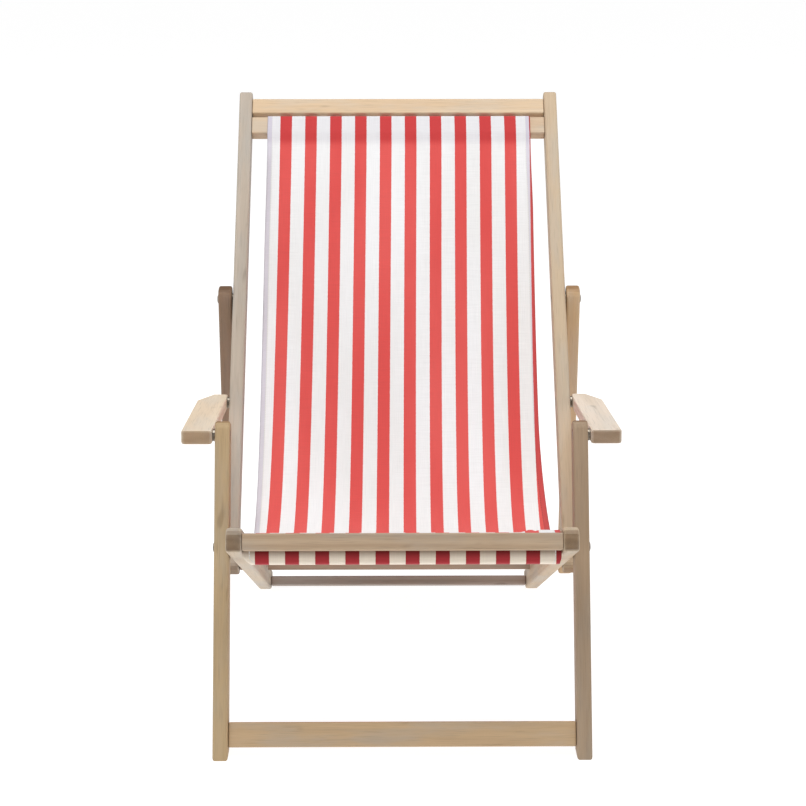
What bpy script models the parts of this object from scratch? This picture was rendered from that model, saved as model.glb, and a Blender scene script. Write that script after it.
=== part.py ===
"""Folding deck chair with armrests: wooden frames on pivot bolts, carrying a fabric sling.

Metres, +Z up, +X to the sitter's left when seen from the front, +Y towards the back of the chair.
The origin is on the floor, under the middle of the chair's box. The chair stands opened for use.

The side view is a four-bar linkage. The seat frame is its ground link, the front legs and the
back frame turn on it, and the armrests join the tops of the legs to the back frame. A prop frame
hinged to the back frame stands in notches cut in the seat rails and holds the back up.
"""

import math

import bmesh
import bpy
from mathutils import Matrix, Vector

# Sections of the timber
RAIL_WIDTH = 0.035
RAIL_THICK = 0.022
END_RADIUS = 0.012
CUT_END_RADIUS = 0.005
SEAT_NOSE_RADIUS = 0.017
FIT_GAP = 0.0003

# Half-widths across the chair, to the inner face of each layer of rails
SEAT_INNER_X = 0.225
LEG_INNER_X = 0.250
PROP_INNER_X = 0.274
ARM_INNER_X = 0.276

# Side view, in degrees and metres along each member
CENTRE_Y = 0.44626
LEG_LEAN = 69.5
SEAT_SLOPE = -21.35
BACK_LEAN = 48.9
FLOOR_TO_SEAT_PIVOT = 0.300
SEAT_PIVOT_TO_ARM = 0.164
SEAT_PIVOT_TO_BACK_PIVOT = 0.210
BACK_PIVOT_TO_ARM = 0.272
BACK_PIVOT_TO_PROP = 0.464
LEG_TOP_OVERHANG = 0.020
SEAT_FRONT_OVERHANG = 0.1368
BACK_FOOT_OVERHANG = 0.023
BACK_HEIGHT = 0.868
PROP_OVERHANG = 0.020
PROP_FOOT_OVERHANG = 0.006
SEAT_REAR_Y = 0.840

# Notches for the foot of the prop bar, along the seat rail from the leg pivot
NOTCH_IN_USE = 0.612
NOTCH_DEPTH = 0.005
NOTCH_PITCH = 0.050
NOTCH_STEPS = (-2, -1, 0)

# Slats between the rails: their sides along the rail and across it
FRONT_RAIL = (0.022, 0.0235)
FRONT_SLING_SLAT = (0.018, 0.027)
SEAT_REAR_SLAT = (0.035, 0.016)
LEG_CROSSBAR = (0.036, 0.020)
PROP_BAR = (0.035, 0.022)
TOP_RAIL = (0.030, 0.020)
TOP_SLING_SLAT = (0.033, 0.020)
SLING_SLOT = 0.008

# Where the slats sit on their rails
FRONT_RAIL_INSET = 0.0018
FRONT_RAIL_DROP = 0.009
REAR_SLAT_ALONG = 0.7195
REAR_SLAT_DROP = 0.004
CROSSBAR_HEIGHT = 0.0305
TOP_RAIL_INSET = 0.015
TOP_SLAT_LIFT = 0.0065
RAIL_EDGE = 0.003
SLAT_EDGE = 0.002

# Armrest
ARM_WIDTH = 0.045
ARM_THICK = 0.021
ARM_FRONT_OVERHANG = 0.021
ARM_REAR_OVERHANG = 0.019
ARM_CORNER = 0.006
ARM_TAPER = (0.021, 0.060)

# Sling, and the two inner handles of the curve that it hangs in
SLING_HALF_WIDTH = 0.223
SLING_THICK = 0.003
SLING_CLEAR = 0.0005
SLING_FRONT_HANDLE = (0.382, 0.111)
SLING_BACK_HANDLE = (0.552, 0.322)
SLING_SPLIT = 0.36
SLING_STEPS = 28

# Fasteners
BOLT_RADIUS = 0.003
HOLE_RADIUS = 0.0034
HEAD_RADIUS = 0.007
HEAD_THICK = 0.002
NUT_RADIUS = 0.0068
NUT_THICK = 0.005
POCKET_RADIUS = 0.0078
POCKET_DEPTH = 0.006
WASHER_RADIUS = 0.009
ARM_BOLT_DEPTH = 0.030
SCREW_RADIUS = 0.002
SCREW_HEAD_RADIUS = 0.0042
SCREW_HOLE_RADIUS = 0.0024
SCREW_SINK_RADIUS = 0.0047
SCREW_SINK_DEPTH = 0.004
SCREW_LENGTH = 0.042
ROUND_STEPS = 14
SMALL_STEPS = 10

SIDES = (("left", 1), ("right", -1))


def step(point, degrees, distance):
    """The point in the side view at this distance and angle from another."""
    angle = math.radians(degrees)
    return (point[0] + distance * math.cos(angle), point[1] + distance * math.sin(angle))


def on_rail(pivot, degrees, along, across=0.0):
    """A point on a member that leans this much: along it from its pivot, and across it."""
    return step(step(pivot, degrees, along), degrees + 90, across)


def angle_between(first, second):
    return math.degrees(math.atan2(second[1] - first[1], second[0] - first[0]))


FOOT = (RAIL_WIDTH / 2 / math.sin(math.radians(LEG_LEAN)) - CENTRE_Y, 0.0)
LEG_PIVOT = step(FOOT, LEG_LEAN, FLOOR_TO_SEAT_PIVOT)
ARM_FRONT = step(LEG_PIVOT, LEG_LEAN, SEAT_PIVOT_TO_ARM)
BACK_PIVOT = step(LEG_PIVOT, SEAT_SLOPE, SEAT_PIVOT_TO_BACK_PIVOT)
ARM_REAR = step(BACK_PIVOT, BACK_LEAN, BACK_PIVOT_TO_ARM)
PROP_PIVOT = step(BACK_PIVOT, BACK_LEAN, BACK_PIVOT_TO_PROP)
BAR_FOOT = on_rail(LEG_PIVOT, SEAT_SLOPE, NOTCH_IN_USE, RAIL_WIDTH / 2 - NOTCH_DEPTH)
PROP_LEAN = angle_between(PROP_PIVOT, BAR_FOOT)
ARM_SLOPE = angle_between(ARM_FRONT, ARM_REAR)

parts = None
cutters = None


def start():
    """Empties the scene and makes the two collections."""
    global parts, cutters
    for thing in list(bpy.data.objects):
        bpy.data.objects.remove(thing)
    parts = bpy.data.collections.new("folding_deck_chair")
    cutters = bpy.data.collections.new("cutters")
    bpy.context.scene.collection.children.link(parts)
    bpy.context.scene.collection.children.link(cutters)


def material(name, colour, roughness, metallic=0.0):
    found = bpy.data.materials.get(name)
    if found:
        return found
    made = bpy.data.materials.new(name)
    made.use_nodes = True
    shader = made.node_tree.nodes["Principled BSDF"]
    shader.inputs["Base Color"].default_value = (*colour, 1.0)
    shader.inputs["Roughness"].default_value = roughness
    shader.inputs["Metallic"].default_value = metallic
    return made


def wood():
    return material("weathered_hardwood", (0.50, 0.37, 0.25), 0.6)


def steel():
    return material("zinc_plated_steel", (0.42, 0.40, 0.37), 0.4, 1.0)


def cloth():
    return material("striped_canvas", (0.80, 0.30, 0.28), 0.9)


def add(name, mesh, finish, collection=None):
    made = bpy.data.objects.new(name, mesh)
    (collection or parts).objects.link(made)
    if finish:
        mesh.materials.clear()
        mesh.materials.append(finish)
    return made


def corner(centre, radius, first, last, count=5):
    """Points on an arc, from one angle to another in degrees."""
    turns = [first + (last - first) * i / (count - 1) for i in range(count)]
    return [step(centre, turn, radius) for turn in turns]


def bar_outline(before, after, first_radius, last_radius):
    """A straight member along +x from -before to +after, its corners rounded at each end."""
    half = RAIL_WIDTH / 2
    a, b = first_radius, last_radius
    points = corner((after - b, half - b), b, 90, 0)
    points += corner((after - b, b - half), b, 0, -90)
    points += corner((a - before, a - half), a, -90, -180)
    points += corner((a - before, half - a), a, 180, 90)
    return points


def turned_outline(points, degrees):
    return [step(step((0, 0), degrees, along), degrees + 90, across) for along, across in points]


def plate(name, outline, thickness, frame, finish, eased=0.0):
    """A flat outline given half its thickness each way, its edges rounded by the eased radius."""
    curve = bpy.data.curves.new(name, "CURVE")
    curve.dimensions = "2D"
    curve.fill_mode = "BOTH"
    curve.extrude = thickness / 2 - eased
    curve.bevel_depth = eased
    curve.bevel_resolution = 1
    curve.offset = -eased
    line = curve.splines.new("POLY")
    line.points.add(len(outline) - 1)
    for target, (x, y) in zip(line.points, outline):
        target.co = (x, y, 0.0, 1.0)
    line.use_cyclic_u = True
    guide = bpy.data.objects.new(name + "_outline", curve)
    cutters.objects.link(guide)
    guide.matrix_world = frame
    bpy.context.view_layer.update()
    mesh = bpy.data.meshes.new_from_object(guide.evaluated_get(bpy.context.evaluated_depsgraph_get()))
    bpy.data.objects.remove(guide)
    tidy = bmesh.new()
    tidy.from_mesh(mesh)
    bmesh.ops.remove_doubles(tidy, verts=tidy.verts, dist=0.00001)
    bmesh.ops.recalc_face_normals(tidy, faces=tidy.faces)
    tidy.to_mesh(mesh)
    tidy.free()
    made = add(name, mesh, finish)
    made.matrix_world = frame
    return made


def side_frame(x, point):
    """Turns a flat outline into the side view: its x becomes +Y, its y becomes +Z."""
    turn = Matrix(((0, 0, 1), (1, 0, 0), (0, 1, 0))).to_4x4()
    return Matrix.Translation((x, point[0], point[1])) @ turn


def box(name, size, centre, degrees, finish, collection=None):
    """A box across the chair, turned about X so that its second side runs at this angle."""
    shape = bmesh.new()
    bmesh.ops.create_cube(shape, size=1, matrix=Matrix.Diagonal((*size, 1.0)))
    mesh = bpy.data.meshes.new(name)
    shape.to_mesh(mesh)
    shape.free()
    made = add(name, mesh, finish, collection)
    made.location = (0.0, *centre)
    made.rotation_euler = (math.radians(degrees), 0, 0)
    return made


def lathe(name, profile, point, side, finish, steps=ROUND_STEPS, closed=False, collection=None):
    """A turned piece on an axis across the chair: the profile holds radius and distance outwards."""
    mesh = bpy.data.meshes.new(name)
    edges = [(i, i + 1) for i in range(len(profile) - 1)]
    if closed:
        edges.append((len(profile) - 1, 0))
    mesh.from_pydata([(radius, 0.0, out) for radius, out in profile], edges, [])
    made = add(name, mesh, finish, collection)
    screw = made.modifiers.new("turn", "SCREW")
    screw.steps = steps
    screw.render_steps = steps
    screw.use_merge_vertices = True
    screw.merge_threshold = 0.00001
    made.location = (0.0, point[0], point[1])
    made.rotation_euler = (0, math.radians(90 * side), 0)
    return made


def cut(target, cutter):
    """Adds a shape to the ones that one Boolean cuts out of a member."""
    cutter.hide_render = True
    cutter.display_type = "WIRE"
    tools = cutters.children.get(target.name + "_cuts")
    if not tools:
        tools = bpy.data.collections.new(target.name + "_cuts")
        cutters.children.link(tools)
        boolean = target.modifiers.new("cuts", "BOOLEAN")
        boolean.operation = "DIFFERENCE"
        boolean.solver = "EXACT"
        boolean.operand_type = "COLLECTION"
        boolean.collection = tools
    cutters.objects.unlink(cutter)
    tools.objects.link(cutter)


def bore(target, name, point, side, stages, steps=ROUND_STEPS):
    """Cuts a stepped round hole: its stages hold a radius, and where that radius starts and ends."""
    profile = [(0.0, stages[0][1])]
    for radius, outer, inner in stages:
        profile += [(radius, outer), (radius, inner)]
    profile.append((0.0, stages[-1][2]))
    cut(target, lathe(f"{target.name}_{name}", profile, point, side, None, steps, collection=cutters))


def washer(name, point, side, inner, outer):
    """A ring that fills the gap between two layers, less a little play on each face."""
    low = inner + FIT_GAP
    high = outer - FIT_GAP
    ring = [(HOLE_RADIUS, high), (WASHER_RADIUS, high), (WASHER_RADIUS, low), (HOLE_RADIUS, low)]
    return lathe(name, ring, point, side, steel(), closed=True)


def headed_bolt(name, point, side, head_face, end):
    """A round head standing on a face, and its shank running inwards to the end."""
    crown = head_face + FIT_GAP + HEAD_THICK
    profile = [(0.0, crown), (HEAD_RADIUS * 0.7, crown)]
    profile += [(HEAD_RADIUS, crown - HEAD_THICK / 2), (HEAD_RADIUS, head_face + FIT_GAP)]
    profile += [(BOLT_RADIUS, head_face + FIT_GAP), (BOLT_RADIUS, end), (0.0, end)]
    return lathe(name, profile, point, side, steel())


def nut(name, point, side, face):
    """A round nut sunk in a pocket, just under a member's inner face."""
    low = face + FIT_GAP
    high = low + NUT_THICK
    ring = [(HOLE_RADIUS, high), (NUT_RADIUS, high), (NUT_RADIUS, low), (HOLE_RADIUS, low)]
    return lathe(name, ring, point, side, steel(), closed=True)


def pocketed_bolt(name, point, side, face, end):
    """A bolt whose head is sunk in a pocket under a member's inner face, and which runs outwards."""
    low = face + FIT_GAP
    head_end = low + NUT_THICK
    profile = [(0.0, end), (BOLT_RADIUS, end), (BOLT_RADIUS, head_end)]
    profile += [(NUT_RADIUS, head_end), (NUT_RADIUS, low), (0.0, low)]
    return lathe(name, profile, point, side, steel())


def pivot_hole(target, name, point, side, inner, pocket):
    """The bolt hole through a rail, with a pocket for a nut or a head where it has one."""
    outer_end = inner + RAIL_THICK + 0.002
    inner_end = inner - 0.002
    stages = [(HOLE_RADIUS, outer_end, inner_end)]
    if pocket:
        floor = inner + POCKET_DEPTH
        stages = [(HOLE_RADIUS, outer_end, floor), (POCKET_RADIUS, floor, inner_end)]
    bore(target, name, point, side, stages)


def screwed_slat(name, section, centre, degrees, inner, rails):
    """A slat between two rails, held by a countersunk screw through each rail into its end."""
    slat = box(name, (2 * (inner - FIT_GAP), *section), centre, degrees, wood())
    bevel = slat.modifiers.new("eased_edges", "BEVEL")
    bevel.width = SLAT_EDGE
    bevel.segments = 2
    outer = inner + RAIL_THICK
    top = outer - SCREW_SINK_DEPTH / 4
    shelf = outer - SCREW_SINK_DEPTH
    neck = shelf + FIT_GAP
    tip = top - SCREW_LENGTH
    for (word, side), rail in zip(SIDES, rails):
        hole = [(SCREW_HOLE_RADIUS, inner + 0.002, tip - 0.002)]
        bore(slat, f"hole_{word}", centre, side, hole, SMALL_STEPS)
        sink = [(SCREW_SINK_RADIUS, outer + 0.002, shelf), (SCREW_HOLE_RADIUS, shelf, inner - 0.002)]
        bore(rail, f"{name}_sink", centre, side, sink, SMALL_STEPS)
        profile = [(0.0, top), (SCREW_HEAD_RADIUS, top), (SCREW_HEAD_RADIUS, neck)]
        profile += [(SCREW_RADIUS, neck), (SCREW_RADIUS, tip), (0.0, tip)]
        lathe(f"{name}_screw_{word}", profile, centre, side, steel(), SMALL_STEPS)


def rail_pair(name, outline, inner, pivot):
    """The same flat rail on the left and on the right, its origin on its pivot's axis."""
    made = []
    for word, side in SIDES:
        frame = side_frame(side * (inner + RAIL_THICK / 2), pivot)
        made.append(plate(f"{name}_{word}", outline, RAIL_THICK, frame, wood(), RAIL_EDGE))
    return made


def at_height(line_point, degrees, height):
    """Where a line through a point, at this angle, reaches a height."""
    return (line_point[0] + (height - line_point[1]) / math.tan(math.radians(degrees)), height)


def seat_outline():
    """A sloping rail: rounded in front, resting on the floor behind, its end cut upright."""
    half = RAIL_WIDTH / 2
    front = -SEAT_FRONT_OVERHANG
    upper = SEAT_NOSE_RADIUS
    lower = CUT_END_RADIUS
    outline = corner((front + upper, half - upper), upper, 90, 180)
    outline += corner((front + lower, lower - half), lower, 180, 270)
    outline = turned_outline(outline, SEAT_SLOPE)
    rear = SEAT_REAR_Y - CENTRE_Y - LEG_PIVOT[0]
    heel = at_height(step((0, 0), SEAT_SLOPE - 90, half), SEAT_SLOPE, -LEG_PIVOT[1])
    top = step((0, 0), SEAT_SLOPE + 90, half)
    top_rear = (rear, top[1] + (rear - top[0]) * math.tan(math.radians(SEAT_SLOPE)))
    return outline + [heel, (rear, -LEG_PIVOT[1]), top_rear]


def cut_notches(rail, side):
    """Steps in a rail's top edge, each the shape of the prop bar's foot."""
    size = (RAIL_THICK + 0.004, PROP_BAR[0] + FIT_GAP, PROP_BAR[1] + 2 * FIT_GAP)
    for number in NOTCH_STEPS:
        along = NOTCH_IN_USE + number * NOTCH_PITCH
        foot = on_rail(LEG_PIVOT, SEAT_SLOPE, along, RAIL_WIDTH / 2 - NOTCH_DEPTH)
        centre = step(foot, PROP_LEAN, FIT_GAP - size[1] / 2)
        cutter = box(f"{rail.name}_notch_{number}", size, centre, PROP_LEAN, None, cutters)
        cutter.location.x = side * (SEAT_INNER_X + RAIL_THICK / 2)
        cut(rail, cutter)


def seat_frame():
    """Two sloping rails, with the front rail, the sling's front slat and the rear slat."""
    rails = rail_pair("seat_rail", seat_outline(), SEAT_INNER_X, LEG_PIVOT)
    for (word, side), rail in zip(SIDES, rails):
        pivot_hole(rail, "leg_hole", LEG_PIVOT, side, SEAT_INNER_X, True)
        pivot_hole(rail, "back_hole", BACK_PIVOT, side, SEAT_INNER_X, True)
        cut_notches(rail, side)
    along = FRONT_RAIL_INSET + FRONT_RAIL[0] / 2 - SEAT_FRONT_OVERHANG
    across = FRONT_RAIL_DROP - FRONT_RAIL[1] / 2
    front = on_rail(LEG_PIVOT, SEAT_SLOPE, along, across)
    rear = on_rail(LEG_PIVOT, SEAT_SLOPE, REAR_SLAT_ALONG, -REAR_SLAT_DROP)
    screwed_slat("seat_front_rail", FRONT_RAIL, front, SEAT_SLOPE, SEAT_INNER_X, rails)
    screwed_slat("seat_sling_slat", FRONT_SLING_SLAT, front_slat(), SEAT_SLOPE, SEAT_INNER_X, rails)
    screwed_slat("seat_rear_slat", SEAT_REAR_SLAT, rear, SEAT_SLOPE, SEAT_INNER_X, rails)


def front_slat():
    """The middle of the slat behind the front rail, with the sling's slot between them."""
    along = FRONT_RAIL_INSET + FRONT_RAIL[0] + SLING_SLOT + FRONT_SLING_SLAT[0] / 2
    across = (FRONT_SLING_SLAT[1] - RAIL_WIDTH) / 2
    return on_rail(LEG_PIVOT, SEAT_SLOPE, along - SEAT_FRONT_OVERHANG, across)


def front_legs():
    """Two legs with feet cut flat on the floor, and the crossbar between them."""
    half = RAIL_WIDTH / 2
    top = SEAT_PIVOT_TO_ARM + LEG_TOP_OVERHANG - END_RADIUS
    outline = corner((top, half - END_RADIUS), END_RADIUS, 90, 0)
    outline += corner((top, END_RADIUS - half), END_RADIUS, 0, -90)
    outline = turned_outline(outline, LEG_LEAN)
    for edge in (LEG_LEAN - 90, LEG_LEAN + 90):
        outline.append(at_height(step((0, 0), edge, half), LEG_LEAN, -LEG_PIVOT[1]))
    legs = rail_pair("leg", outline, LEG_INNER_X, LEG_PIVOT)
    for (word, side), leg in zip(SIDES, legs):
        pivot_hole(leg, "seat_hole", LEG_PIVOT, side, LEG_INNER_X, False)
        pivot_hole(leg, "arm_hole", ARM_FRONT, side, LEG_INNER_X, True)
    bar = step(FOOT, LEG_LEAN, CROSSBAR_HEIGHT)
    screwed_slat("leg_crossbar", LEG_CROSSBAR, bar, LEG_LEAN, LEG_INNER_X, legs)


def back_frame():
    """Two long rails with the top rail and, under a slot, the slat that the sling hangs from."""
    outline = bar_outline(BACK_FOOT_OVERHANG, BACK_HEIGHT, END_RADIUS, CUT_END_RADIUS)
    rails = rail_pair("back_rail", turned_outline(outline, BACK_LEAN), LEG_INNER_X, BACK_PIVOT)
    for (word, side), rail in zip(SIDES, rails):
        pivot_hole(rail, "seat_hole", BACK_PIVOT, side, LEG_INNER_X, False)
        pivot_hole(rail, "arm_hole", ARM_REAR, side, LEG_INNER_X, True)
        pivot_hole(rail, "prop_hole", PROP_PIVOT, side, LEG_INNER_X, True)
    along = BACK_HEIGHT - TOP_RAIL_INSET - TOP_RAIL[0] / 2
    top = on_rail(BACK_PIVOT, BACK_LEAN, along, TOP_SLAT_LIFT)
    screwed_slat("back_top_rail", TOP_RAIL, top, BACK_LEAN, LEG_INNER_X, rails)
    screwed_slat("back_sling_slat", TOP_SLING_SLAT, top_slat(), BACK_LEAN, LEG_INNER_X, rails)


def top_slat():
    """The middle of the slat that the sling hangs from, a slot below the top rail."""
    down = TOP_RAIL_INSET + TOP_RAIL[0] + SLING_SLOT + TOP_SLING_SLAT[0] / 2
    return on_rail(BACK_PIVOT, BACK_LEAN, BACK_HEIGHT - down, TOP_SLAT_LIFT)


def prop_frame():
    """Two props outside the back rails, and the bar between their feet that sits in the notches."""
    length = math.dist(PROP_PIVOT, BAR_FOOT)
    outline = bar_outline(PROP_OVERHANG, length + PROP_FOOT_OVERHANG, END_RADIUS, CUT_END_RADIUS)
    rails = rail_pair("prop_rail", turned_outline(outline, PROP_LEAN), PROP_INNER_X, PROP_PIVOT)
    for (word, side), rail in zip(SIDES, rails):
        pivot_hole(rail, "back_hole", PROP_PIVOT, side, PROP_INNER_X, False)
    bar = step(BAR_FOOT, PROP_LEAN, -PROP_BAR[0] / 2)
    screwed_slat("prop_bar", PROP_BAR, bar, PROP_LEAN, PROP_INNER_X, rails)


def armrests():
    """Two flat armrests, the outer rear corner of each cut to a long taper."""
    r = ARM_CORNER
    front = -math.dist(ARM_FRONT, ARM_REAR) - ARM_FRONT_OVERHANG
    rear = ARM_REAR_OVERHANG
    outline = corner((front + r, r), r, 180, 270)
    outline += corner((rear - r, r), r, 270, 360)
    outline += [(rear, ARM_WIDTH - ARM_TAPER[0]), (rear - ARM_TAPER[1], ARM_WIDTH)]
    outline += corner((front + r, ARM_WIDTH - r), r, 90, 180)
    along = Vector((0.0, *step((0, 0), ARM_SLOPE, 1)))
    for word, side in SIDES:
        out = Vector((side, 0.0, 0.0))
        turn = Matrix((along, out, along.cross(out))).transposed().to_4x4()
        frame = Matrix.Translation((side * ARM_INNER_X, *ARM_REAR)) @ turn
        arm = plate(f"armrest_{word}", outline, ARM_THICK, frame, wood(), RAIL_EDGE)
        deep = ARM_INNER_X + ARM_BOLT_DEPTH + 0.002
        bore(arm, "hole", ARM_REAR, side, [(HOLE_RADIUS, deep, ARM_INNER_X - 0.002)])


def sling_point(t, start_point, end_point):
    """A point on the curve in which the cloth hangs."""
    handles = [(y - CENTRE_Y, z) for y, z in (SLING_FRONT_HANDLE, SLING_BACK_HANDLE)]
    four = [Vector(p) for p in (start_point, *handles, end_point)]
    weights = ((1 - t) ** 3, 3 * t * (1 - t) ** 2, 3 * t * t * (1 - t), t**3)
    return sum((p * w for p, w in zip(four, weights)), Vector((0.0, 0.0)))


def band(name, line):
    """A sheet of cloth: a line in the side view, given its thickness and the sling's width."""
    upper = []
    lower = []
    for i, point in enumerate(line):
        run = (line[min(i + 1, len(line) - 1)] - line[max(i - 1, 0)]).normalized()
        normal = Vector((-run.y, run.x)) * SLING_THICK / 2
        upper.append(tuple(point + normal))
        lower.append(tuple(point - normal))
    outline = upper + lower[::-1]
    local = [(y - BACK_PIVOT[0], z - BACK_PIVOT[1]) for y, z in outline]
    plate(name, local, 2 * SLING_HALF_WIDTH, side_frame(0.0, BACK_PIVOT), cloth())


def sling():
    """The cloth, as a piece that belongs to the seat and a piece that belongs to the back."""
    across = FRONT_SLING_SLAT[1] / 2 + 0.006
    start_point = on_rail(front_slat(), SEAT_SLOPE, FRONT_SLING_SLAT[0] / 2 + 0.009, across)
    face = TOP_SLING_SLAT[1] / 2 + SLING_THICK / 2 + SLING_CLEAR
    end_point = on_rail(top_slat(), BACK_LEAN, -TOP_SLING_SLAT[0] / 2, face)
    top_point = on_rail(top_slat(), BACK_LEAN, TOP_SLING_SLAT[0] / 2, face)
    line = [sling_point(i / SLING_STEPS, start_point, end_point) for i in range(SLING_STEPS + 1)]
    split = round(SLING_SPLIT * SLING_STEPS)
    band("sling_seat", line[: split + 1])
    away = (line[split + 1] - line[split]).normalized() * 0.001
    band("sling_back", [line[split] + away, *line[split + 1 :], Vector(top_point)])


def hardware():
    """The bolts, washers and nuts on the five pivots of each side."""
    leg_outer = LEG_INNER_X + RAIL_THICK
    seat_outer = SEAT_INNER_X + RAIL_THICK
    prop_outer = PROP_INNER_X + RAIL_THICK
    for word, side in SIDES:
        for name, point in (("leg_pivot", LEG_PIVOT), ("back_pivot", BACK_PIVOT)):
            headed_bolt(f"{name}_bolt_{word}", point, side, leg_outer, SEAT_INNER_X + 0.001)
            washer(f"{name}_washer_{word}", point, side, seat_outer, LEG_INNER_X)
            nut(f"{name}_nut_{word}", point, side, SEAT_INNER_X)
        headed_bolt(f"prop_pivot_bolt_{word}", PROP_PIVOT, side, prop_outer, LEG_INNER_X + 0.001)
        washer(f"prop_pivot_washer_{word}", PROP_PIVOT, side, leg_outer, PROP_INNER_X)
        nut(f"prop_pivot_nut_{word}", PROP_PIVOT, side, LEG_INNER_X)
        arm_end = ARM_INNER_X + ARM_BOLT_DEPTH
        pocketed_bolt(f"arm_rear_bolt_{word}", ARM_REAR, side, LEG_INNER_X, arm_end)
        washer(f"arm_rear_spacer_{word}", ARM_REAR, side, leg_outer, ARM_INNER_X)
        pocketed_bolt(f"arm_front_pin_{word}", ARM_FRONT, side, LEG_INNER_X, ARM_INNER_X - 0.0006)
        washer(f"arm_front_spacer_{word}", ARM_FRONT, side, leg_outer, ARM_INNER_X)


def shade():
    """Smooth shading on round pieces, with their edges kept sharp."""
    for piece in parts.objects:
        piece.data.shade_smooth()
        piece.data.set_sharp_from_angle(angle=math.radians(30))


start()
seat_frame()
front_legs()
back_frame()
prop_frame()
armrests()
sling()
hardware()
shade()
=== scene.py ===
"""Looks for the folding deck chair: its striped canvas sling, weathered wood, steel and studio.

Everything is in metres in the frame of the CAD model, which stands with its front towards -Y. A
point in the side view is (Y, Z). "Along" and "across" are measured along a leaning member and
square to it. A cloth row's "rise" goes from 0 at the front slat to 1 at the top one.
"""

import math

import bmesh
import bpy
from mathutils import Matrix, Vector, noise


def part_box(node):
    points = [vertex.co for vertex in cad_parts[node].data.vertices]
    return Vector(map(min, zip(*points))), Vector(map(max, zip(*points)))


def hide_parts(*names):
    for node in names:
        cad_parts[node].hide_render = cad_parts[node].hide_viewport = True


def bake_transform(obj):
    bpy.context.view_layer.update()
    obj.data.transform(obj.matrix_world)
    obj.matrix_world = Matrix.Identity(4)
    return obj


# Lean of the members in the side view, in degrees, as in the CAD model
LEG_LEAN = 69.5
SEAT_SLOPE = -21.35
BACK_LEAN = 48.9
PROP_LEAN = -81.32
ARM_SLOPE = -4.5

# Camera
LENS = 100.5
SENSOR = 36.0
CAMERA_PLACE = (-0.0268, -3.4597, 1.2341)
CAMERA_TILT = 76.76
CAMERA_PAN = -0.52

# Studio
FLOOR_SIZE = 60.0
FLOOR_DROP = 0.0004
WORLD_STRENGTH = 0.22
HORIZON_GLOW = 1.0
FLOOR_GLOW = 0.90
LIGHT_PLACE = (0.0, -0.9, 6.0)
LIGHT_AIM = (0.0, 0.0, 0.4)
LIGHT_SIZE = (4.5, 4.5)
LIGHT_POWER = 350.0

# Wood: tint of cut ends, part end grain and part painted shade, radius of worn edges, and how much lighter
# those are
END_GRAIN_AND_SHADE_TINT = (0.54, 0.44, 0.35)
WORN_RADIUS = 0.0035
WORN_LIGHTER = 1.12

# Legs: their sides from the chair's middle, and their tints at the outer and at the inner side: painted
# shade and light across their rounded faces, darker and cooler outside, warmer inside
OUTER_SIDE = 0.319
INNER_SIDE = 0.303
SIDE_SHADE_TINTS = {
    "leg_right": ((0.84, 0.96, 1.05), (1.05, 1.01, 0.93)),
    "leg_left": ((0.83, 0.87, 0.88), (1.05, 1.03, 1.00)),
}

# Slats that the sling goes round: half of their sides along the rail and across it
FRONT_SLAT_HALF = (0.009, 0.0135)
TOP_SLAT_HALF = (0.0165, 0.010)

# Cloth: flat width, thickness, and the step from the hanging layer to a sewn-down end under it
CLOTH_THICK = 0.0012
LAYER_GAP = 0.0019

# Hanging line: its start, along and across from the front slat's middle; its two handles, in the
# side view; the cloth's place in front of the top slat's middle; its steps, and how many of them at
# each end the corner into a sleeve takes up; the step beyond which it moves with the back frame
FRONT_START = (0.018, 0.0178)
FRONT_HANDLE = (-0.0643, 0.111)
BACK_HANDLE = (0.1057, 0.322)
TOP_FACE = 0.0115
HANG_STEPS = 400
CORNER_STEPS = 4

# Sleeves: length of a sewn-down end, slack under the front slat, how far the left and right edges
# are drawn in by that slack, how far both are in a sewn-down end, and the radius of a fold
SLEEVE_TAIL = 0.035
SLEEVE_SLACK = 0.0140
SLEEVE_INSET = (0.011, 0.003)
TAIL_INSET = 0.004
BEND_RADIUS = 0.0035

# Grid of the cloth: steps between rows where it hangs, in a sewn-down end and in a loop; columns
ROW_STEP = 0.008
TAIL_STEP = 0.004
LOOP_STEP = 0.0022
COLUMNS = 72

# Outline of the cloth, from the chair's middle to its left and right edges
LEFT_SIDE = 0.2238
RIGHT_SIDE = 0.2240
LEFT_BOW = 0.0016
RIGHT_SPREAD = 0.0030
RIGHT_FLARE = 0.0072
TOP_NARROWING = (0.0012, 0.0022)
SWAY = 0.0017

# Shape of the cloth's surface: rolled edges, waves, and the pucker by the front slat with its dent
ROLL_WIDTH = 0.010
LEFT_ROLL = 0.0050
RIGHT_ROLL = 0.0022
BROAD_WAVES = 0.0011
FINE_WAVES = 0.0006
PUCKER_HEIGHT = 0.0050
PUCKER_START = 0.168
PUCKER_REACH = 0.012
DENT_DEPTH = 0.0022
DENT_PLACE = 0.190
DENT_WIDTH = 0.003

# Stripes: from one red stripe to the next, the red share, and where the first red one begins
STRIPE_PITCH = 0.0424
STRIPE_SHARE = 0.47
STRIPE_START_TOP = -0.2010
STRIPE_START_FRONT = -0.2077
STRIPE_BLUR = 0.010

# Painted shade on the cloth's loop under the front rail: the lengths along the cloth between which it
# gives way to the plain colours, and the heights in the slot from light to dark
SLOT_SHADE_LENGTHS = (0.125, 0.145)
SLOT_SHADE = (0.0115, 0.0215)

# Hems, with a band of painted shade on them, and weave
HEM_SHADE_WIDTH = 0.0080
STITCH_LINE = 0.0085
STITCH_LENGTH = 0.0042
YARN_PITCH = 0.0012

# Values that the cloth's mesh hands to its material
CLOTH_VALUES = ("stripe", "along", "from_edge", "slot_shade_height", "top_slat_shade")


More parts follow.
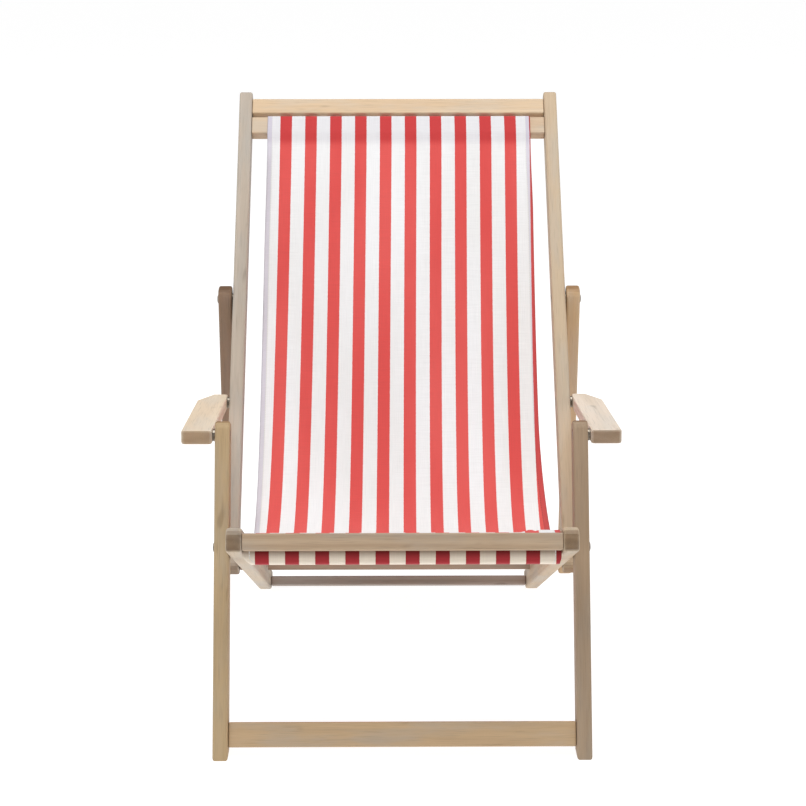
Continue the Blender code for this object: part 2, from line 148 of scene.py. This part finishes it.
def point_at(origin, degrees, along, across=0.0):
    """A point in the side view, along and across a member that leans this much."""
    lean = math.radians(degrees)
    along_axis = Vector((math.cos(lean), math.sin(lean)))
    across_axis = Vector((-math.sin(lean), math.cos(lean)))
    return Vector(origin) + along_axis * along + across_axis * across


def middle(node):
    """The middle of a node's box, in the side view."""
    low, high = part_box(node)
    return Vector(((low[1] + high[1]) / 2, (low[2] + high[2]) / 2))


# ---------------------------------------------------------------- material nodes


def new_material(name):
    """A material, its node tree and its shader."""
    made = bpy.data.materials.new(name)
    made.use_nodes = True
    return made, made.node_tree, made.node_tree.nodes["Principled BSDF"]


def feed(tree, socket, value):
    """Links a socket to an input, or sets the input to a value."""
    if isinstance(value, bpy.types.NodeSocket):
        tree.links.new(value, socket)
    else:
        socket.default_value = value


def calculate(tree, operation, first, second=0.0):
    node = tree.nodes.new("ShaderNodeMath")
    node.operation = operation
    feed(tree, node.inputs[0], first)
    feed(tree, node.inputs[1], second)
    return node.outputs[0]


def between(tree, value, low, high, to_low=0.0, to_high=1.0, smooth=True):
    """Maps a value from one range to another, clamped at its ends."""
    node = tree.nodes.new("ShaderNodeMapRange")
    node.interpolation_type = "SMOOTHSTEP" if smooth else "LINEAR"
    for name, number in (("From Min", low), ("From Max", high), ("To Min", to_low), ("To Max", to_high)):
        node.inputs[name].default_value = number
    feed(tree, node.inputs["Value"], value)
    return node.outputs["Result"]


def blend_colours(tree, factor, first, second, mode="MIX"):
    node = tree.nodes.new("ShaderNodeMix")
    node.data_type = "RGBA"
    node.blend_type = mode
    feed(tree, node.inputs[0], factor)
    feed(tree, node.inputs[6], first if isinstance(first, bpy.types.NodeSocket) else (*first, 1.0))
    feed(tree, node.inputs[7], second if isinstance(second, bpy.types.NodeSocket) else (*second, 1.0))
    return node.outputs[2]


def stretch(tree, vector, scale):
    node = tree.nodes.new("ShaderNodeVectorMath")
    node.operation = "MULTIPLY"
    feed(tree, node.inputs[0], vector)
    node.inputs[1].default_value = scale
    return node.outputs[0]


def noise_at(tree, vector, scale, detail=2.0, roughness=0.5):
    node = tree.nodes.new("ShaderNodeTexNoise")
    feed(tree, node.inputs["Vector"], vector)
    for name, number in (("Scale", scale), ("Detail", detail), ("Roughness", roughness)):
        node.inputs[name].default_value = number
    return node.outputs["Fac"]


def attribute(tree, name):
    node = tree.nodes.new("ShaderNodeAttribute")
    node.attribute_name = name
    return node.outputs["Fac"]


def bump(tree, height, strength, distance):
    node = tree.nodes.new("ShaderNodeBump")
    node.inputs["Strength"].default_value = strength
    node.inputs["Distance"].default_value = distance
    feed(tree, node.inputs["Height"], height)
    return node.outputs["Normal"]


def edge_mask(tree, radius):
    """1 on outer edges and corners, 0 on flat faces: where a rounded normal leaves the true one."""
    rounded = tree.nodes.new("ShaderNodeBevel")
    rounded.samples = 4
    rounded.inputs["Radius"].default_value = radius
    geometry = tree.nodes.new("ShaderNodeNewGeometry")
    dot = tree.nodes.new("ShaderNodeVectorMath")
    dot.operation = "DOT_PRODUCT"
    tree.links.new(rounded.outputs["Normal"], dot.inputs[0])
    tree.links.new(geometry.outputs["True Normal"], dot.inputs[1])
    return between(tree, dot.outputs["Value"], 0.99, 0.80)


# ---------------------------------------------------------------- wood

def along_grain(tree, coordinates, lean, crosswise, seed):
    """Places in the wood, turned so that Y runs along the grain; each seed is another piece of wood."""
    turn = tree.nodes.new("ShaderNodeMapping")
    turn.inputs["Rotation"].default_value = (math.radians(-lean), 0, math.radians(90 if crosswise else 0))
    turn.inputs["Location"].default_value = (seed * 0.713, seed * 1.37, seed * 0.291)
    tree.links.new(coordinates.outputs["Object"], turn.inputs["Vector"])
    return turn.outputs["Vector"]


def growth_rings(tree, place):
    rings = tree.nodes.new("ShaderNodeTexWave")
    rings.bands_direction = "Z"
    for socket, number in (("Scale", 22), ("Distortion", 6), ("Detail", 3), ("Detail Scale", 1.4)):
        rings.inputs[socket].default_value = number
    tree.links.new(stretch(tree, place, (1.0, 0.05, 1.0)), rings.inputs["Vector"])
    return rings.outputs["Fac"]


def grain_colour(tree, place, streaks, light, dark):
    """Growth rings, broad bands and fine streaks between a member's light and dark tones."""
    broad = noise_at(tree, stretch(tree, place, (10, 1.2, 10)), 1.0, 3.0)
    tone = calculate(tree, "MULTIPLY", growth_rings(tree, place), 0.26)
    tone = calculate(tree, "ADD", tone, calculate(tree, "MULTIPLY", broad, 0.45))
    tone = calculate(tree, "ADD", tone, calculate(tree, "MULTIPLY", streaks, 0.55))
    return blend_colours(tree, between(tree, tone, 0.40, 0.80, smooth=False), dark, light)


def weathered_grey(light):
    """The warm grey that wood with this light tone weathers to."""
    grey = 0.92 * (0.30 * light[0] + 0.45 * light[1] + 0.25 * light[2])
    return grey, grey * 0.99, grey * 0.93


def mark_tone(dark):
    """The tone of small knots and stains in wood with this dark tone."""
    return tuple(0.55 * channel for channel in dark)


def shaded_across(tree, coordinates, colour, outer, inner):
    """Painted shade and light across a leg: the wood made greyer on the chair's outer side and warmer on
    its inner side.
    """
    split = tree.nodes.new("ShaderNodeSeparateXYZ")
    tree.links.new(coordinates.outputs["Object"], split.inputs[0])
    inward = between(tree, calculate(tree, "ABSOLUTE", split.outputs["X"]), OUTER_SIDE, INNER_SIDE)
    return blend_colours(tree, 1.0, colour, blend_colours(tree, inward, outer, inner), "MULTIPLY")


def wood(name, lean, crosswise, light, dark, weathering, end_and_shade_tone, seed):
    """Weathered hardwood with its grain along a member that leans this much, or lies crosswise; its cut
    ends darkened, part end grain and part painted shade.
    """
    made, tree, shader = new_material(f"wood_{name}")
    coordinates = tree.nodes.new("ShaderNodeTexCoord")
    place = along_grain(tree, coordinates, lean, crosswise, seed)
    streaks = noise_at(tree, stretch(tree, place, (170, 3.5, 170)), 1.0, 4.0, 0.6)
    fibres = noise_at(tree, stretch(tree, place, (1100, 18, 1100)), 1.0, 2.0, 0.6)
    patches = noise_at(tree, stretch(tree, place, (24, 5, 24)), 1.0, 4.0, 0.6)
    marks = noise_at(tree, stretch(tree, place, (60, 16, 60)), 1.0, 1.0)

    colour = grain_colour(tree, place, streaks, light, dark)
    weathered = between(tree, patches, 0.42, 0.68, 0.0, weathering)
    colour = blend_colours(tree, weathered, colour, weathered_grey(light))
    marked = between(tree, marks, 0.68, 0.78, 0.0, 0.45)
    colour = blend_colours(tree, marked, colour, mark_tone(dark))
    pores = between(tree, fibres, 0.52, 0.72, 1.0, 0.80)
    colour = blend_colours(tree, 1.0, colour, shade_of(tree, pores), "MULTIPLY")
    # Cut ends darkened: part end grain, part painted shade
    ends = end_grain(tree, coordinates, lean, crosswise)
    colour = blend_colours(tree, ends, colour, tuple(end_and_shade_tone * c for c in END_GRAIN_AND_SHADE_TINT), "MULTIPLY")
    # Painted shade and light across the legs' rounded faces
    if name in SIDE_SHADE_TINTS:
        colour = shaded_across(tree, coordinates, colour, *SIDE_SHADE_TINTS[name])
    wear = between(tree, patches, 0.35, 0.6, 0.05, 0.30)
    worn = calculate(tree, "MULTIPLY", edge_mask(tree, WORN_RADIUS), wear)
    colour = blend_colours(tree, worn, colour, tuple(min(1.0, c * WORN_LIGHTER) for c in light))
    tree.links.new(colour, shader.inputs["Base Color"])

    rough = between(tree, streaks, 0.3, 0.7, 0.52, 0.74, smooth=False)
    tree.links.new(rough, shader.inputs["Roughness"])
    shader.inputs["Specular IOR Level"].default_value = 0.35
    relief = calculate(tree, "ADD", streaks, calculate(tree, "MULTIPLY", fibres, 0.6))
    tree.links.new(bump(tree, relief, 0.35, 0.0005), shader.inputs["Normal"])
    return made


def end_grain(tree, coordinates, lean, crosswise):
    """1 on the faces that cut across a member's grain."""
    angle = math.radians(lean)
    axis = (1.0, 0.0, 0.0) if crosswise else (0.0, math.cos(angle), math.sin(angle))
    dot = tree.nodes.new("ShaderNodeVectorMath")
    dot.operation = "DOT_PRODUCT"
    tree.links.new(coordinates.outputs["Normal"], dot.inputs[0])
    dot.inputs[1].default_value = axis
    facing = calculate(tree, "ABSOLUTE", dot.outputs["Value"])
    return between(tree, facing, 0.40, 0.98, smooth=False)


def shade_of(tree, value):
    """A grey colour as light as a value."""
    node = tree.nodes.new("ShaderNodeCombineColor")
    for i in range(3):
        tree.links.new(value, node.inputs[i])
    return node.outputs["Color"]


# Member: its lean, whether it runs crosswise, light and dark tones, weathering, tone of its ends (end
# grain and painted shade), seed
TIMBER = {
    "armrest_right": (ARM_SLOPE, False, (0.79, 0.66, 0.50), (0.68, 0.54, 0.39), 0.30, 1.0, 1),
    "armrest_left": (ARM_SLOPE, False, (0.78, 0.67, 0.56), (0.66, 0.55, 0.43), 0.30, 0.84, 2),
    "leg_right": (LEG_LEAN, False, (0.48, 0.36, 0.22), (0.38, 0.27, 0.15), 0.35, 1.0, 3),
    "leg_left": (LEG_LEAN, False, (0.40, 0.30, 0.21), (0.32, 0.23, 0.15), 0.3, 1.0, 4),
    "leg_crossbar": (LEG_LEAN, True, (0.58, 0.41, 0.24), (0.48, 0.33, 0.19), 0.35, 1.0, 5),
    "back_rail_right": (BACK_LEAN, False, (0.49, 0.41, 0.33), (0.39, 0.32, 0.25), 0.5, 1.0, 6),
    "back_rail_left": (BACK_LEAN, False, (0.58, 0.46, 0.31), (0.49, 0.36, 0.24), 0.3, 1.0, 7),
    "back_top_rail": (BACK_LEAN, True, (0.69, 0.52, 0.34), (0.59, 0.42, 0.26), 0.3, 1.0, 8),
    "back_sling_slat": (BACK_LEAN, True, (0.61, 0.46, 0.31), (0.50, 0.35, 0.23), 0.3, 1.0, 9),
    "seat_rail_right": (SEAT_SLOPE, False, (0.58, 0.48, 0.36), (0.47, 0.37, 0.27), 0.45, 0.74, 10),
    "seat_rail_left": (SEAT_SLOPE, False, (0.62, 0.49, 0.34), (0.49, 0.37, 0.25), 0.35, 0.72, 11),
    "seat_front_rail": (SEAT_SLOPE, True, (0.49, 0.36, 0.24), (0.40, 0.28, 0.18), 0.3, 1.0, 12),
    "seat_sling_slat": (SEAT_SLOPE, True, (0.58, 0.43, 0.29), (0.48, 0.34, 0.22), 0.3, 1.0, 13),
    "seat_rear_slat": (SEAT_SLOPE, True, (0.39, 0.31, 0.26), (0.29, 0.23, 0.18), 0.4, 1.0, 14),
    "prop_rail_right": (PROP_LEAN, False, (0.31, 0.20, 0.13), (0.23, 0.14, 0.08), 0.25, 1.0, 15),
    "prop_rail_left": (PROP_LEAN, False, (0.68, 0.48, 0.28), (0.57, 0.38, 0.21), 0.25, 1.0, 16),
    "prop_bar": (PROP_LEAN, True, (0.39, 0.28, 0.20), (0.29, 0.20, 0.14), 0.3, 1.0, 17),
}


def steel():
    """Zinc-plated steel, dulled and a little stained out of doors."""
    made, tree, shader = new_material("zinc_plated_steel_worn")
    coordinates = tree.nodes.new("ShaderNodeTexCoord").outputs["Object"]
    stains = noise_at(tree, coordinates, 260, 4.0, 0.6)
    scratches = noise_at(tree, stretch(tree, coordinates, (1, 3, 0.4)), 900, 2.0)
    colour = blend_colours(tree, between(tree, stains, 0.5, 0.75), (0.26, 0.23, 0.19), (0.10, 0.065, 0.04))
    tree.links.new(colour, shader.inputs["Base Color"])
    tree.links.new(between(tree, stains, 0.35, 0.7, 0.34, 0.62), shader.inputs["Roughness"])
    tree.links.new(bump(tree, scratches, 0.2, 0.0002), shader.inputs["Normal"])
    shader.inputs["Metallic"].default_value = 1.0
    return made


def paint_nodes():
    """Gives every CAD node that stays its own wood, or the steel."""
    metal = steel()
    for name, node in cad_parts.items():
        finish = wood(name, *TIMBER[name]) if name in TIMBER else metal
        node.data.materials.clear()
        node.data.materials.append(finish)


# ---------------------------------------------------------------- sling


def running_lengths(line):
    """How far along a line each of its points is."""
    lengths = [0.0]
    for a, b in zip(line, line[1:]):
        lengths.append(lengths[-1] + (b - a).length)
    return lengths


def rounded(points, radius, step):
    """A polyline through points with its corners rounded, in steps of about this length."""
    curve = [points[0]]
    for before, corner, after in zip(points, points[1:], points[2:]):
        back = before - corner
        ahead = after - corner
        reach = min(radius, back.length * 0.49, ahead.length * 0.49)
        first = corner + back.normalized() * reach
        last = corner + ahead.normalized() * reach
        for i in range(6):
            t = i / 5
            curve.append(first * (1 - t) ** 2 + corner * (2 * t * (1 - t)) + last * t**2)
    curve.append(points[-1])
    return even(curve, step)


def even(curve, step):
    """The same polyline in equal steps."""
    lengths = running_lengths(curve)
    count = max(2, round(lengths[-1] / step))
    spaced = []
    k = 0
    for i in range(count + 1):
        target = lengths[-1] * i / count
        while k < len(lengths) - 2 and lengths[k + 1] < target:
            k += 1
        span = lengths[k + 1] - lengths[k]
        t = (target - lengths[k]) / span if span else 0.0
        spaced.append(curve[k].lerp(curve[k + 1], t))
    return spaced


def offset(curve, distance):
    """The same line moved to its left by a distance."""
    moved = []
    for i, point in enumerate(curve):
        run = (curve[min(i + 1, len(curve) - 1)] - curve[max(i - 1, 0)]).normalized()
        moved.append(point + Vector((-run.y, run.x)) * distance)
    return moved


def hanging_curve():
    """The line that the cloth hangs in, from just behind the front slat to the foot of the top slat."""
    start = point_at(middle("seat_sling_slat"), SEAT_SLOPE, *FRONT_START)
    end = point_at(middle("back_sling_slat"), BACK_LEAN, -TOP_SLAT_HALF[0], TOP_FACE)
    four = [start, Vector(FRONT_HANDLE), Vector(BACK_HANDLE), end]
    fine = []
    for i in range(HANG_STEPS + 1):
        t = i / HANG_STEPS
        weights = ((1 - t) ** 3, 3 * t * (1 - t) ** 2, 3 * t * t * (1 - t), t**3)
        fine.append(sum((p * w for p, w in zip(four, weights)), Vector((0.0, 0.0))))
    return fine


def front_loop():
    """Down behind the slat, under it with some slack, up the slot and over its top."""
    slat = middle("seat_sling_slat")
    along, across = FRONT_SLAT_HALF
    gap = CLOTH_THICK / 2 + 0.0008
    path = [
        (along + 0.0062, across - 0.002),
        (along + 0.0030, -0.004),
        (along + 0.0005, -across - SLEEVE_SLACK),
        (-along + 0.0026, -across - SLEEVE_SLACK),
        (-along - gap - 0.0008, -across + 0.003),
        (-along - gap - 0.0006, across + gap),
        (0.0015, across + gap + 0.0003),
    ]
    return [point_at(slat, SEAT_SLOPE, *p) for p in path]


def top_loop():
    """Up the slat's front face, over its top, down its back and forward under it."""
    slat = middle("back_sling_slat")
    along, across = TOP_SLAT_HALF
    gap = CLOTH_THICK / 2 + 0.0004
    path = [
        (along + gap, TOP_FACE),
        (along + gap, -across - gap),
        (-along - gap, -across - gap),
        (-along - gap - 0.0014, across - 0.004),
    ]
    return [point_at(slat, BACK_LEAN, *p) for p in path]


def part_of(curve, length):
    """The first stretch of a line, of this length."""
    lengths = running_lengths(curve)
    inside = sum(1 for reached in lengths if reached <= length)
    return curve[: inside + 1]


def sling_line():
    """The whole cloth in the side view, and the first and last of its points that hang free."""
    hang = hanging_curve()
    under = offset(hang, -LAYER_GAP)
    front_tail = part_of(under, SLEEVE_TAIL)[::-1]
    top_tail = part_of(under[::-1], SLEEVE_TAIL)[CORNER_STEPS:]
    into_hang = [hang[0], hang[CORNER_STEPS]]
    out_of_hang = [hang[-1 - CORNER_STEPS], hang[-1]]
    front = rounded([*front_tail[-2:], *front_loop(), *into_hang], BEND_RADIUS, LOOP_STEP)
    top = rounded([*out_of_hang, *top_loop(), *top_tail[:2]], BEND_RADIUS, LOOP_STEP)
    lower_end = even(front_tail[:-1], TAIL_STEP)
    upper_end = even(top_tail[1:], TAIL_STEP)
    free = even(hang[CORNER_STEPS:-CORNER_STEPS], ROW_STEP)[1:-1]
    first = len(lower_end) - 1 + len(front)
    return lower_end[:-1] + front + free + top + upper_end[1:], first, first + len(free) - 1


def smooth(t):
    """0 below 0 and 1 above 1, with a soft step between them."""
    t = max(0.0, min(1.0, t))
    return t * t * (3 - 2 * t)


def sway(rise):
    """How far the whole cloth lies to one side."""
    return -SWAY * math.sin(math.pi * math.sqrt(rise))


def left_edge(rise):
    """Where the cloth's edge on the -X side is."""
    bow = LEFT_BOW * math.sin(math.pi * rise)
    top = TOP_NARROWING[0] * smooth((rise - 0.8) / 0.2)
    return sway(rise) - LEFT_SIDE - bow + top


def right_edge(rise):
    """The edge on the +X side. Just above the front slat it flares out and cuts into the seat rail."""
    spread = RIGHT_SPREAD * smooth(rise / 0.1)
    flare = RIGHT_FLARE * smooth(rise / 0.16) * (1 - smooth((rise - 0.22) / 0.3))
    top = TOP_NARROWING[1] * smooth((rise - 0.88) / 0.12)
    return sway(rise) + RIGHT_SIDE + spread + flare - top


def side_edges(rise, point, in_tail):
    """The cloth's two edges in a row: drawn in on the sewn-down ends and under the front slat."""
    left = left_edge(rise)
    right = right_edge(rise)
    slat = middle("seat_sling_slat")
    if point.x < slat.x + 0.03:
        below = smooth((slat.y - FRONT_SLAT_HALF[1] - point.y) / SLEEVE_SLACK)
        left += SLEEVE_INSET[0] * below
        right -= SLEEVE_INSET[1] * below
    if in_tail:
        left += TAIL_INSET
        right -= TAIL_INSET
    return left, right


def ripple(x, rise):
    """How far the cloth stands out of its plain curve: rolled edges and slight waves."""
    from_left = x - left_edge(rise)
    from_right = right_edge(rise) - x
    rolled = LEFT_ROLL * (1 - smooth(from_left / ROLL_WIDTH))
    rolled += RIGHT_ROLL * (1 - smooth(from_right / ROLL_WIDTH))
    waves = BROAD_WAVES * noise.noise(Vector((x * 9.0, rise * 3.5, 1.7)))
    fine = FINE_WAVES * noise.noise(Vector((x * 34.0, rise * 5.0, 8.1)))
    return waves + fine * (1 - smooth(rise / 0.35)) - rolled


def pucker(x, above):
    """How far the cloth is bunched up where it leaves the front slat, near its end on the +X side."""
    over = math.exp(-(((above + PUCKER_REACH) / PUCKER_REACH) ** 2))
    bunch = PUCKER_HEIGHT * smooth((x - PUCKER_START) / PUCKER_REACH)
    dent = DENT_DEPTH * math.exp(-(((x - DENT_PLACE) / DENT_WIDTH) ** 2))
    return over * (bunch - dent)


def column_share(i):
    """How far across the cloth a column is, from 0 to 1: they are closer together at its edges."""
    eased = 0.5 - 0.5 * math.cos(math.pi * i / COLUMNS)
    return 0.55 * eased + 0.45 * i / COLUMNS


def stripe_start(rise):
    """Where the first red stripe begins in a row."""
    return STRIPE_START_FRONT + (STRIPE_START_TOP - STRIPE_START_FRONT) * rise + sway(rise)


def sling_mesh():
    """The cloth as a grid of points with the values that its material needs, and its flat length."""
    line, first_free, last_free = sling_line()
    lengths = running_lengths(line)
    low_end = lengths[first_free]
    high_end = lengths[last_free]
    lowest = min(point.y for point in line[:first_free])
    tail_rows = round(SLEEVE_TAIL / TAIL_STEP)
    grid = bmesh.new()
    layers = {name: grid.verts.layers.float.new(name) for name in CLOTH_VALUES}
    rows = []
    for k, point in enumerate(line):
        run = (line[min(k + 1, len(line) - 1)] - line[max(k - 1, 0)]).normalized()
        normal = Vector((0.0, -run.y, run.x))
        above = lengths[k] - low_end
        rise = max(0.0, min(1.0, above / (high_end - low_end)))
        free = smooth(above / 0.03) * smooth((high_end - lengths[k]) / 0.05)
        left, right = side_edges(rise, point, k < tail_rows or k >= len(line) - tail_rows)
        row = []
        for i in range(COLUMNS + 1):
            x = left + (right - left) * column_share(i)
            lift = Vector((0.0, 0.0, pucker(x, above)))
            vert = grid.verts.new(Vector((x, point.x, point.y)) + normal * (ripple(x, rise) * free) + lift)
            values = {
                "stripe": (x - stripe_start(rise)) / STRIPE_PITCH,
                "along": lengths[k],
                "from_edge": min(x - left, right - x),
                # Painted shade: light at the foot of the slot, dark under the front rail
                "slot_shade_height": (point.y - lowest - SLOT_SHADE[0]) / (SLOT_SHADE[1] - SLOT_SHADE[0]),
                # Painted shade where the cloth lies on the top slat
                "top_slat_shade": smooth((lengths[k] - high_end + 0.004) / 0.018),
            }
            for name, layer in layers.items():
                vert[layer] = values[name]
            row.append(vert)
        rows.append(row)
    for lower, upper in zip(rows, rows[1:]):
        for i in range(COLUMNS):
            grid.faces.new((lower[i], lower[i + 1], upper[i + 1], upper[i]))
    mesh = bpy.data.meshes.new("sling")
    grid.to_mesh(mesh)
    grid.free()
    return mesh, lengths[-1]


def with_thickness(piece, thickness):
    """Gives a sheet its thickness for good."""
    solid = piece.modifiers.new("thickness", "SOLIDIFY")
    solid.thickness = thickness
    solid.offset = 0.0
    bpy.context.view_layer.update()
    shaped = bpy.data.meshes.new_from_object(piece.evaluated_get(bpy.context.evaluated_depsgraph_get()))
    piece.modifiers.clear()
    piece.data = shaped
    piece.data.shade_smooth()


def stripe_mask(tree, stripe, flat):
    """1 on a red stripe and 0 on a white one, with edges that wander by a yarn or so."""
    wander = noise_at(tree, stretch(tree, flat, (60, 260, 1)), 1.0, 3.0)
    wander = calculate(tree, "MULTIPLY", calculate(tree, "SUBTRACT", wander, 0.5), 0.018)
    phase = calculate(tree, "FRACT", calculate(tree, "ADD", calculate(tree, "ADD", stripe, wander), 8.0))
    half = STRIPE_SHARE / 2
    distance = calculate(tree, "ABSOLUTE", calculate(tree, "SUBTRACT", phase, half))
    return between(tree, distance, half + STRIPE_BLUR, half - STRIPE_BLUR)


def colours_and_painted_shade(tree, flat, slot_shaded):
    """The whites and the reds: faded in patches, with painted shade where the cloth lies on the top slat,
    and painted shade from light to dark up the slot under the front rail.
    """
    fading = noise_at(tree, stretch(tree, flat, (7, 2.2, 1)), 1.0, 4.0)
    faded = between(tree, fading, 0.35, 0.65)
    top_slat_shade = attribute(tree, "top_slat_shade")
    slot_shade_height = between(tree, attribute(tree, "slot_shade_height"), 0.0, 1.0, smooth=False)
    whites = blend_colours(tree, faded, (0.79, 0.785, 0.78), (0.84, 0.84, 0.85))
    # Painted shade on the top slat
    whites = blend_colours(tree, top_slat_shade, whites, (0.70, 0.69, 0.71))
    # Painted shade in the slot, from light at its foot to dark under the front rail
    slot_shaded_white = blend_colours(tree, slot_shade_height, (0.85, 0.76, 0.64), (0.35, 0.275, 0.21))
    whites = blend_colours(tree, slot_shaded, whites, slot_shaded_white)
    reds = blend_colours(tree, faded, (0.67, 0.072, 0.066), (0.72, 0.098, 0.088))
    reds = blend_colours(tree, top_slat_shade, reds, (0.53, 0.038, 0.039))
    slot_shaded_red = blend_colours(tree, slot_shade_height, (0.40, 0.028, 0.036), (0.14, 0.002, 0.002))
    reds = blend_colours(tree, slot_shaded, reds, slot_shaded_red)
    return whites, reds


def stitches(tree, along, from_edge):
    """1 on the stitches along the inner side of the hems."""
    dash = calculate(tree, "FRACT", calculate(tree, "DIVIDE", along, STITCH_LENGTH))
    off_line = calculate(tree, "ABSOLUTE", calculate(tree, "SUBTRACT", from_edge, STITCH_LINE))
    on_line = between(tree, off_line, 0.0009, 0.0004)
    return calculate(tree, "MULTIPLY", on_line, between(tree, dash, 0.80, 0.72))


def plain_weave(tree, stripe, along):
    """The height of warp and weft yarns that pass over and under each other."""
    turn = 2 * math.pi
    warp = calculate(tree, "SINE", calculate(tree, "MULTIPLY", stripe, turn * STRIPE_PITCH / YARN_PITCH))
    weft = calculate(tree, "SINE", calculate(tree, "MULTIPLY", along, turn / YARN_PITCH))
    return calculate(tree, "MULTIPLY", warp, weft)


def canvas():
    """Heavy striped cotton canvas: yarn-dyed stripes, plain weave, slubs, fading and hem stitches, with
    painted shade on the hems, on the top slat and in the slot.
    """
    made, tree, shader = new_material("striped_canvas_woven")
    stripe = attribute(tree, "stripe")
    along = attribute(tree, "along")
    from_edge = attribute(tree, "from_edge")
    place = tree.nodes.new("ShaderNodeCombineXYZ")
    tree.links.new(calculate(tree, "MULTIPLY", stripe, STRIPE_PITCH), place.inputs[0])
    tree.links.new(along, place.inputs[1])
    flat = place.outputs[0]
    slubs_along = noise_at(tree, stretch(tree, flat, (1500, 22, 1)), 1.0, 2.0)
    slubs_across = noise_at(tree, stretch(tree, flat, (26, 1400, 1)), 1.0, 2.0)
    slubs = calculate(tree, "ADD", slubs_along, slubs_across)

    red = stripe_mask(tree, stripe, flat)
    # Painted shade on the loop under the front rail, giving way to the plain colours above it
    slot_shaded = between(tree, along, SLOT_SHADE_LENGTHS[1], SLOT_SHADE_LENGTHS[0])
    colour = blend_colours(tree, red, *colours_and_painted_shade(tree, flat, slot_shaded))
    yarn = between(tree, slubs, 0.7, 1.3, 0.93, 1.05, smooth=False)
    colour = blend_colours(tree, 1.0, colour, shade_of(tree, yarn), "MULTIPLY")
    # Painted shade on the rolled hems, left off in the slot
    hem_shade = between(tree, from_edge, HEM_SHADE_WIDTH + 0.0008, HEM_SHADE_WIDTH - 0.0004)
    hem_shade = calculate(tree, "MULTIPLY", hem_shade, calculate(tree, "SUBTRACT", 1.0, slot_shaded))
    colour = blend_colours(tree, hem_shade, colour, (0.82, 0.78, 0.86), "MULTIPLY")
    thread = stitches(tree, along, from_edge)
    thread_tone = blend_colours(tree, red, (0.70, 0.69, 0.67), (0.36, 0.05, 0.05))
    colour = blend_colours(tree, thread, colour, thread_tone)
    tree.links.new(colour, shader.inputs["Base Color"])

    weave = plain_weave(tree, stripe, along)
    relief = calculate(tree, "ADD", weave, calculate(tree, "MULTIPLY", slubs, 0.8))
    relief = calculate(tree, "ADD", relief, calculate(tree, "MULTIPLY", thread, 1.5))
    tree.links.new(bump(tree, relief, 0.25, 0.0002), shader.inputs["Normal"])
    tree.links.new(between(tree, slubs, 0.7, 1.3, 0.82, 0.95), shader.inputs["Roughness"])
    shader.inputs["Specular IOR Level"].default_value = 0.2
    shader.inputs["Sheen Weight"].default_value = 0.15
    shader.inputs["Sheen Roughness"].default_value = 0.6
    return made


def sling():
    """The cloth: one sheet with a sleeve at each end, in place of the two rigid CAD pieces."""
    mesh, length = sling_mesh()
    piece = bpy.data.objects.new("sling_canvas", mesh)
    bpy.context.collection.objects.link(piece)
    with_thickness(piece, CLOTH_THICK)
    piece.data.materials.append(canvas())
    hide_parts("sling_seat", "sling_back")
    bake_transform(piece)


# ---------------------------------------------------------------- studio


def floor():
    """A plain floor that glows a little, so that it is as pale as the surround."""
    made, tree, shader = new_material("studio_floor")
    shader.inputs["Base Color"].default_value = (0.34, 0.34, 0.34, 1.0)
    shader.inputs["Emission Color"].default_value = (1.0, 1.0, 1.0, 1.0)
    shader.inputs["Emission Strength"].default_value = FLOOR_GLOW
    shader.inputs["Roughness"].default_value = 0.9
    shader.inputs["Specular IOR Level"].default_value = 0.1
    bpy.ops.mesh.primitive_plane_add(size=FLOOR_SIZE, location=(0, 0, -FLOOR_DROP))
    ground = bpy.context.object
    ground.name = "studio_floor"
    ground.data.materials.append(made)


def softbox(name, place, aim, size, power):
    light = bpy.data.lights.new(name, "AREA")
    light.shape = "RECTANGLE"
    light.size, light.size_y = size
    light.energy = power
    holder = bpy.data.objects.new(name, light)
    bpy.context.collection.objects.link(holder)
    holder.location = place
    holder.rotation_euler = (Vector(aim) - Vector(place)).to_track_quat("-Z", "Y").to_euler()


def studio():
    """A pale floor, an even white surround and a large soft light overhead."""
    floor()
    world = bpy.data.worlds.new("studio_surround")
    world.use_nodes = True
    surround = world.node_tree.nodes["Background"]
    direction = world.node_tree.nodes.new("ShaderNodeTexCoord")
    split = world.node_tree.nodes.new("ShaderNodeSeparateXYZ")
    world.node_tree.links.new(direction.outputs["Generated"], split.inputs[0])
    strength = between(world.node_tree, split.outputs["Z"], 0.02, 0.25, HORIZON_GLOW, WORLD_STRENGTH)
    world.node_tree.links.new(strength, surround.inputs["Strength"])
    surround.inputs["Color"].default_value = (1.0, 1.0, 1.0, 1.0)
    bpy.context.scene.world = world
    bpy.context.scene.view_settings.view_transform = "Standard"
    softbox("overhead", LIGHT_PLACE, LIGHT_AIM, LIGHT_SIZE, LIGHT_POWER)


def camera():
    data = bpy.data.cameras.new("camera")
    data.lens = LENS
    data.sensor_width = SENSOR
    data.clip_end = 200.0
    holder = bpy.data.objects.new("camera", data)
    bpy.context.collection.objects.link(holder)
    holder.location = CAMERA_PLACE
    holder.rotation_euler = (math.radians(CAMERA_TILT), 0, math.radians(CAMERA_PAN))
    bpy.context.scene.camera = holder


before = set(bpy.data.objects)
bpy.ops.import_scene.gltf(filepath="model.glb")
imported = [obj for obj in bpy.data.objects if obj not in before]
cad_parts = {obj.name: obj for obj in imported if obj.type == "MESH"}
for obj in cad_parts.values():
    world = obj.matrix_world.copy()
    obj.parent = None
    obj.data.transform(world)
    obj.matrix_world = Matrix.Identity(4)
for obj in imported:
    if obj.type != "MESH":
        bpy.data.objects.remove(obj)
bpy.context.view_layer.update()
paint_nodes()
sling()
studio()
camera()
